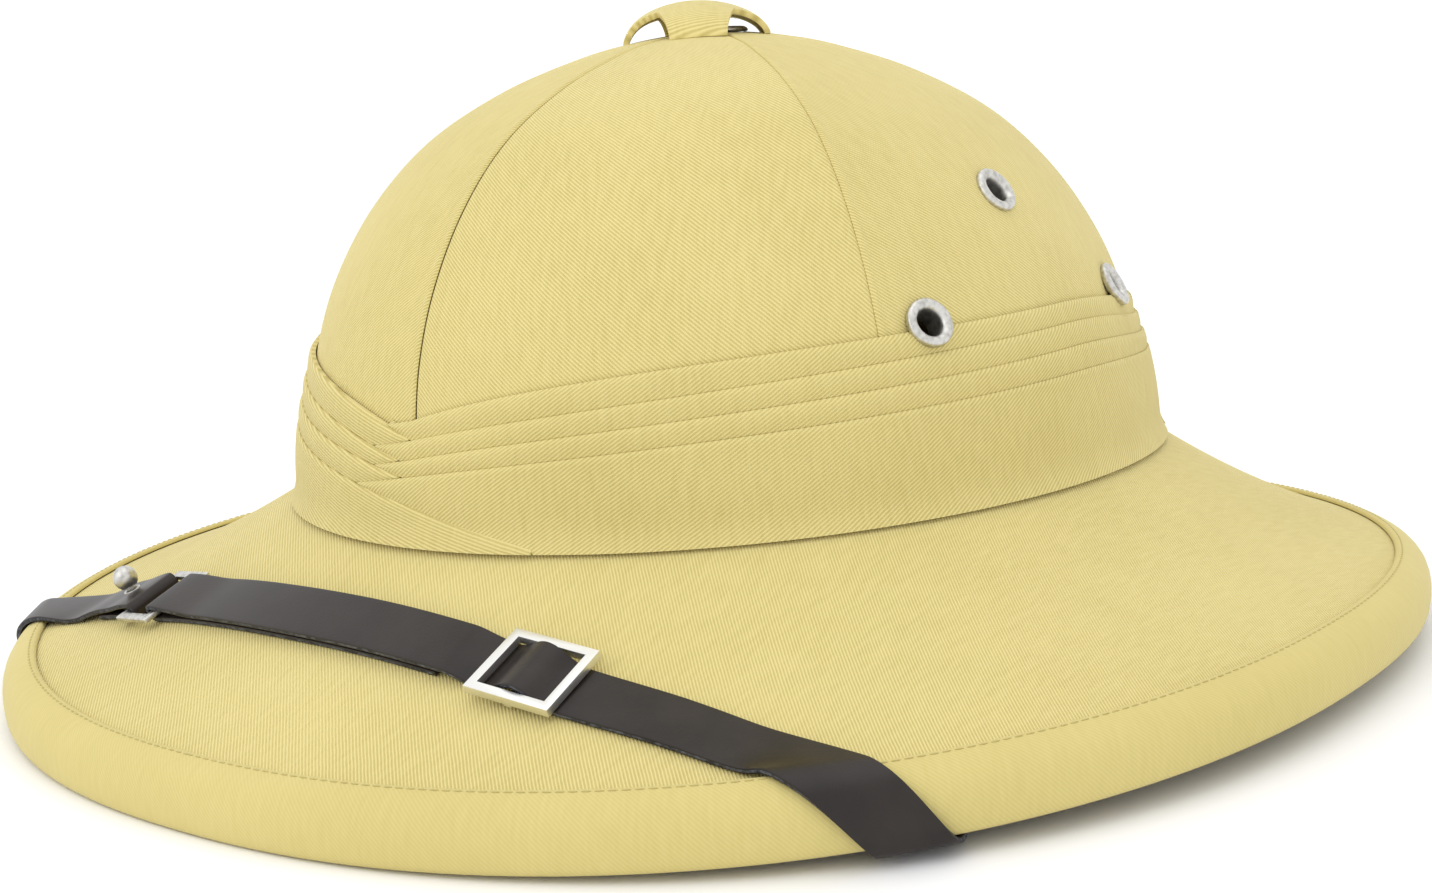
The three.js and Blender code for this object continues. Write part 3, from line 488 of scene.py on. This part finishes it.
def pleat_edge(pleat, angle, side):
    """A pleat's upper edge in shares of the band's height, by degrees round from the front."""
    turned = angle if side == "right" else -angle
    front, ease = pleat[side]
    climb = (1.0 - np.exp(-np.clip(turned, 0.0, 90.0) / ease)) / (1.0 - np.exp(-90.0 / ease))
    past = np.clip((turned - 90.0) / (JOIN_ANGLE - 90.0), 0.0, 1.0)
    edge = front + (pleat["side"] - front) * climb
    edge = edge + (pleat["back"] - pleat["side"]) * past * past * (3.0 - 2.0 * past)
    return np.where(turned < 0.0, front + turned * pleat_dip[side], edge)


lowest_tip = pleats[3]["left"][0] - GAP / BAND_HEIGHT - OUTER_FOOT - THIN_EDGE / 2.0
lowest_tip /= pleat_dip["left"]


def fold_lines(level, side, angle):
    """Where a fold shows from under its neighbours, and its upper edge, in shares of the band."""
    if level == 3:
        crossed = (side == "right") & (angle < lowest_tip + 0.15)
        under = np.where(crossed, pleat_edge(pleats[level], angle, "left"), -1.0)
    else:
        other = pleats[level] if side == "right" else pleats[level + 1]
        under = np.maximum(
            pleat_edge(pleats[level + 1], angle, side),
            pleat_edge(other, angle, "left" if side == "right" else "right"),
        )
    return under, pleat_edge(pleats[level], angle, side) - FOLD_GAP / BAND_HEIGHT


fold_ups = 1.0 - 0.14 * (1.0 - np.linspace(0.0, 1.0, 9)[1:]) ** 2
fold_ups = np.concatenate((np.linspace(0.0, 0.86, 13), fold_ups))
for level, pleat in enumerate(pleats):
    for side, sign in (("right", 1.0), ("left", -1.0)):
        lowest = level == 3
        tip = lowest_tip
        if not (lowest and side == "left"):
            search = sign * np.linspace(-30.0, 40.0, 1401)
            under, top = fold_lines(level, side, search)
            tip = search[np.argmax(top - np.maximum(under, OUTER_FOOT) > 0.3 / BAND_HEIGHT)]
        far = JOIN_ANGLE - 0.1 if side == "right" else JOIN_ANGLE - 360.0 + 0.1
        near = tip + sign * 6.0
        columns = np.concatenate((np.linspace(tip, near, 25), np.linspace(near, far, 240)[1:]))
        under, top = fold_lines(level, side, columns)
        low = np.maximum(under, OUTER_FOOT)
        inner_low = np.maximum(under, INNER_FOOT) if lowest else under
        inner_top = np.maximum(top, inner_low + THIN_EDGE)
        base = GAP + PLEAT_BASE + PLEAT_STEP * (level + (0.5 if side == "left" else 0.0))
        wave = np.sin(np.radians(columns * 7.0 + 50.0 * level)) * np.sin(np.radians(columns * 2.3))
        lines = []
        for up in fold_ups:
            height = low + (top - low) * up
            foot = (height - OUTER_FOOT) * BAND_HEIGHT / FLARE_HEIGHT
            foot = np.clip(1.0 - foot, 0.0, 1.0) if lowest else 0.0
            swell = (BILLOW * wave + FOLD_SWELL) * math.sin(math.pi * up)
            roll = FOLD_ROLL * np.exp(-(((top - height) * BAND_HEIGHT / ROLL_WIDTH) ** 2))
            lines.append((height, base + FOOT_FLARE * foot**2 + swell - roll))
        for down in np.linspace(1.0, 0.0, 5):
            height = inner_low + (inner_top - inner_low) * down
            lines.append((height, np.full_like(columns, GAP)))
        lines.append(lines[0])
        raised, stand = np.moveaxis(np.array(lines), 1, 0)
        raised = raised * BAND_HEIGHT
        points = off_surface(crown_skin, columns, raised / CROWN_RISE, stand)
        wound = np.tile(sign * np.radians(columns) * HEAD_ROUND, (len(lines), 1))
        name = f"band_fold_{side}_{level + 1}"
        strip = lay_grid(name, points, along=wound, across=raised, closed=True)
        bpy.ops.object.mode_set(mode="EDIT")
        bpy.ops.mesh.select_all(action="DESELECT")
        bpy.ops.mesh.select_non_manifold()
        bpy.ops.mesh.edge_face_add()
        bpy.ops.mesh.select_all(action="SELECT")
        bpy.ops.mesh.normals_make_consistent(inside=False)
        bpy.ops.object.mode_set(mode="OBJECT")
        twill = khaki_twill(f"khaki_{side}_{level + 1}", band_grain[side], light=0.96)
        strip.data.materials.append(twill)
        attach(strip, "root")
        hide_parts(f"band_{side}_{level + 1}")

# Vent eyelets: stamped nickel rings rolled over a short barrel, three a side. The low pair
# lean outwards a little because they lie half over the band.
EYELET_RADIUS, EYELET_BORE, EYELET_LEAN, PUNCH_RADIUS = 5.4, 2.9, 0.2, 3.58
EYELET_SIDE, EYELET_SPREAD, EYELET_STAND, EYELET_STEP = 87.5, 20.9, 0.36, 24.8
eyelet_profile = (
    (EYELET_BORE, -5.0), (3.5, -5.0), (3.5, -0.5), (5.2, -0.6), (5.36, -0.2),
    (EYELET_RADIUS, 0.35), (5.3, 0.72), (5.0, 1.02), (4.6, 1.18), (4.1, 1.16), (3.6, 0.98),
    (3.2, 0.62), (2.95, 0.1), (EYELET_BORE, -0.7), (EYELET_BORE, -5.0),
)
punch_profile = (
    (0.0, -9.0), (PUNCH_RADIUS, -9.0), (PUNCH_RADIUS, 4.0), (0.0, 4.0), (0.0, -9.0),
)
nickel, tree, shader = new_finish("nickel_plate", {"Metallic": 1.0})
marks = patches(tree, 900.0, 5.0)
colour_by(tree, shader, marks, (0.32, (0.44, 0.43, 0.40)), (0.6, (0.66, 0.65, 0.62)))
dull_by(tree, shader, marks, 0.28, 0.5)


def turn_profile(name, profile, centre, axis, sides=64):
    """A ring turned about an axis from its closed outline of radius and height."""
    axis = np.asarray(axis) / np.linalg.norm(axis)
    first = np.cross(axis, (0.0, 0.0, 1.0)) if abs(axis[2]) < 0.9 else np.array((1.0, 0.0, 0.0))
    first = first - axis * np.dot(first, axis)
    first /= np.linalg.norm(first)
    second = np.cross(axis, first)
    turns = np.linspace(0.0, 2.0 * math.pi, sides + 1)[:, None]
    around = np.cos(turns) * first + np.sin(turns) * second
    rows = [np.asarray(centre) + around * radius + axis * height for radius, height in profile]
    return lay_grid(name, np.array(rows), closed=True)


LOW_RISE = (BAND_HEIGHT + EYELET_STAND) / CROWN_RISE
HIGH_RISE = LOW_RISE + EYELET_STEP / CROWN_RISE
eyelet_places = (
    (1, -EYELET_SPREAD, LOW_RISE, EYELET_LEAN),
    (2, 0.0, HIGH_RISE, 0.0),
    (3, EYELET_SPREAD, LOW_RISE, EYELET_LEAN),
)
for side, way in (("right", 1.0), ("left", -1.0)):
    for number, offset, rise, lean in eyelet_places:
        angle = np.array([(EYELET_SIDE + offset) * way])
        rise_row = np.array([rise])
        foot = crown_skin(angle, rise_row)[0]
        normal = off_surface(crown_skin, angle, rise_row, [1.0])[0] - foot
        up = crown_skin(angle, rise_row + 0.01)[0] - foot
        up /= np.linalg.norm(up)
        seat = foot + normal * EYELET_RADIUS * lean
        axis = (normal + up * lean) / np.linalg.norm(normal + up * lean)
        ring = turn_profile(f"eyelet_ring_{side}_{number}", eyelet_profile, seat, axis)
        ring.data.materials.append(nickel)
        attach(ring, "root")
        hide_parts(f"eyelet_{side}_{number}")
        punch = turn_profile("punch", punch_profile, seat, axis, sides=32)
        gore_name = f"twill_gore_{2 if side == 'right' else 5}"
        for cloth_name in (gore_name, "moulded_shell", f"band_fold_{side}_1"):
            on_band = cloth_name.startswith("band")
            if number == 2 and on_band:
                continue
            solver = "EXACT" if on_band else "FAST"
            apply_modifier(bpy.data.objects[cloth_name], "BOOLEAN", object=punch, solver=solver)
        bpy.data.objects.remove(punch)

# Top vent: a broad nickel eyelet through the top of the crown, with a flat flange. It lets the
# warm air out, and sits under the cap.
vent_seat = np.array((0.0, CROWN_BACK + CROWN_LEAN * TOP_RISE, CROWN_ROOT + CROWN_RISE * TOP_RISE))
vent_profile = (
    (5.0, -5.0), (5.6, -5.0), (5.6, 0.35), (9.3, 0.35), (9.5, 0.6), (9.3, 1.1), (8.6, 1.5),
    (6.4, 1.5), (5.5, 1.2), (5.1, 0.7), (5.0, 0.0), (5.0, -5.0),
)
vent = turn_profile("top_vent_ring", vent_profile, vent_seat, (0.0, 0.0, 1.0))
vent.data.materials.append(nickel)
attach(vent, "root")
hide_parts("top_vent")

# Vent cap: a dome of doubled cloth that keeps the rain off the top vent. It is cut away between
# its four feet, which are sewn down on the crown and follow its fall.
FOOT_WIDTH, NECK_WIDTH, CAP_SPAN, CAP_WALL, CAP_SHIFT, CAP_TURN = 13.4, 18.0, 17.4, 1.4, 3.0, 41.0
CAP_ARCH, CAP_FULLNESS, CAP_FOOT_RISE, CAP_SEAT, CROWN_TOP_RADIUS = 8.6, 0.6, 0.972, 17.0, 100.0
foot_height = crown_skin(np.array([90.0]), np.array([CAP_FOOT_RISE]))[0, 2]
foot_height = foot_height + 2.0 * GAP - vent_seat[2]
neck = NECK_WIDTH / 2.0
middle_run = np.linspace(-neck, neck, 33)
arm_run = neck + (CAP_SPAN - neck) * np.sin(np.linspace(0.0, math.pi / 2.0, 25))
long_run = np.concatenate((-arm_run[:0:-1], middle_run, arm_run[1:]))
sheets = []
for number, run in enumerate((long_run, arm_run, -arm_run)):
    half = np.interp(np.abs(run), (neck, CAP_SPAN), (neck, FOOT_WIDTH / 2.0))
    ahead, aside = np.broadcast_arrays(run[:, None], half[:, None] * np.linspace(-1.0, 1.0, 33))
    dome = (1.0 - (ahead / CAP_SPAN) ** 2) * (1.0 - (aside / CAP_SPAN) ** 2)
    height = foot_height + CAP_ARCH * np.clip(dome, 0.0, 1.0) ** CAP_FULLNESS
    flat = (ahead, aside) if number == 0 else (-aside, ahead)
    from_top = np.hypot(flat[0] - CAP_SHIFT, flat[1])
    crown_fall = (from_top**2 - CAP_SEAT**2) / (2.0 * CROWN_TOP_RADIUS)
    height = height - (np.abs(ahead) / CAP_SPAN) ** 6 * (GAP + crown_fall)
    points = np.stack((flat[0], flat[1], height), axis=-1)
    sheets.append(lay_grid(f"vent_cap_{number}", points, along=flat[0], across=flat[1]))
cap = sheets[0]
for sheet in sheets:
    sheet.select_set(True)
bpy.context.view_layer.objects.active = cap
bpy.ops.object.join()
weld(2e-6)
if cap.data.polygons[len(cap.data.polygons) // 2].normal.z < 0.0:
    cap.data.flip_normals()
thicken(cap, CAP_WALL)


def ease_edges(piece, width, segments, sharp, material=-1):
    """Rounds edges sharper than an angle in degrees, over a width in millimetres."""
    apply_modifier(
        piece, "BEVEL", width=width * MM, segments=segments, limit_method="ANGLE",
        angle_limit=math.radians(sharp), material=material,
    )


ease_edges(cap, 0.3, 2, 55)
cap_turn = math.radians(CAP_TURN)
cap_shift = CAP_SHIFT * np.array((math.cos(cap_turn), math.sin(cap_turn), 0.0))
cap.location = (vent_seat - cap_shift) * MM
cap.rotation_euler = (0.0, 0.0, cap_turn)
bpy.ops.object.select_all(action="DESELECT")
cap.select_set(True)
bpy.ops.object.transform_apply(location=True, rotation=True, scale=True)
bpy.ops.object.shade_smooth_by_angle(angle=math.radians(40))
cap.name = "vent_cap"
cap.data.name = "vent_cap"
cap.data.materials.append(khaki_twill("khaki_vent", 84.0, pitch=0.56))
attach(cap, "root")
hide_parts("vent_cover")

# Chin strap: two lengths of black-brown leather with raw cut edges. The short one comes over
# the left rim and round the ring; the long one runs from the ring through the buckle and over
# the right rim, and both go back under the brim to the sides of the head opening.
leather, tree, shader = new_finish("strap_leather", {"Specular IOR Level": 0.3})
place = add_node(tree, "TexCoord", {}, {}).outputs["Object"]
pores = add_node(tree, "TexVoronoi", {"Scale": 1700.0}, {"Vector": place})
handled = patches(tree, 60.0, 5.0)
colour_by(tree, shader, handled, (0.35, (0.015, 0.011, 0.010)), (0.7, (0.030, 0.023, 0.020)))
dull_by(tree, shader, handled, 0.3, 0.42)
raise_by(tree, shader, pores.outputs["Distance"], 0.25, 0.06)

raw_edge, tree, shader = new_finish("raw_leather_edge", {"Roughness": 0.75})
fibres = patches(tree, 900.0, 8.0)
colour_by(tree, shader, fibres, (0.4, (0.012, 0.014, 0.022)), (0.68, (0.10, 0.11, 0.14)))
raise_by(tree, shader, fibres, 0.6, 0.1)


def finished_copy(node, name):
    """A CAD node's own shape, merged and with its flat faces whole, ready for finer work."""
    bpy.ops.object.select_all(action="DESELECT")
    piece = nodes[node].copy()
    piece.data = nodes[node].data.copy()
    piece.name = name
    piece.data.name = name
    piece.parent = None
    bpy.context.scene.collection.objects.link(piece)
    piece.hide_render = False
    piece.data.materials.clear()
    piece.select_set(True)
    bpy.context.view_layer.objects.active = piece
    bpy.ops.object.mode_set(mode="EDIT")
    bpy.ops.mesh.select_all(action="SELECT")
    bpy.ops.mesh.remove_doubles(threshold=2e-6)
    bpy.ops.mesh.tris_convert_to_quads(
        face_threshold=math.radians(60), shape_threshold=math.radians(180),
    )
    bpy.ops.mesh.normals_make_consistent(inside=False)
    bpy.ops.object.mode_set(mode="OBJECT")
    return piece


def round_off(piece):
    """Subdivides a piece twice into a smooth rounded form."""
    apply_modifier(piece, "SUBSURF", levels=2, render_levels=2)
    bpy.ops.object.shade_smooth_by_angle(angle=math.radians(35))


# A strap's faces reach across its width, and only those of its cut edges have no side this long.
ACROSS_STRAP = 9.5
for node, name in (("chin_strap_long", "strap_long"), ("chin_strap_short", "strap_short")):
    strap = finished_copy(node, name)
    strap.data.materials.append(leather)
    strap.data.materials.append(raw_edge)
    work = bmesh.new()
    work.from_mesh(strap.data)
    for face in work.faces:
        if max(edge.calc_length() for edge in face.edges) < ACROSS_STRAP * MM:
            face.material_index = 1
    work.to_mesh(strap.data)
    work.free()
    ease_edges(strap, 0.22, 2, 75, material=0)
    round_off(strap)
    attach(strap, "root")
    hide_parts(node)

# Strap metal: a flat stamped ring in nickel that joins the two lengths, and a bright slide buckle
# with bevelled bars and a centre bar under the strap.
bright, tree, shader = new_finish("bright_plate", {
    "Metallic": 1.0, "Base Color": (0.82, 0.82, 0.80, 1.0),
})
dull_by(tree, shader, patches(tree, 700.0, 4.0), 0.3, 0.42)
for node, name, width, look, slot in (
    ("strap_ring", "ring_plate", 0.3, nickel, "nickel"),
    ("slide_buckle", "buckle_frame", 0.62, bright, "bright_buckle"),
):
    metal = finished_copy(node, name)
    bpy.ops.object.mode_set(mode="EDIT")
    bpy.ops.mesh.select_all(action="SELECT")
    bpy.ops.mesh.dissolve_limited(angle_limit=math.radians(1.0))
    bpy.ops.object.mode_set(mode="OBJECT")
    ease_edges(metal, width, 3, 40)
    bpy.ops.object.shade_smooth_by_angle(angle=math.radians(35))
    metal.data.materials.append(look)
    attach(metal, "root")
    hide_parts(node)

# Ball stud: a small nickel ball on a neck that closes the short strap's loop, pushed up through
# both layers of leather.
stud = finished_copy("ball_stud", "stud_ball")
round_off(stud)
stud.data.materials.append(nickel)
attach(stud, "root")
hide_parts("ball_stud")
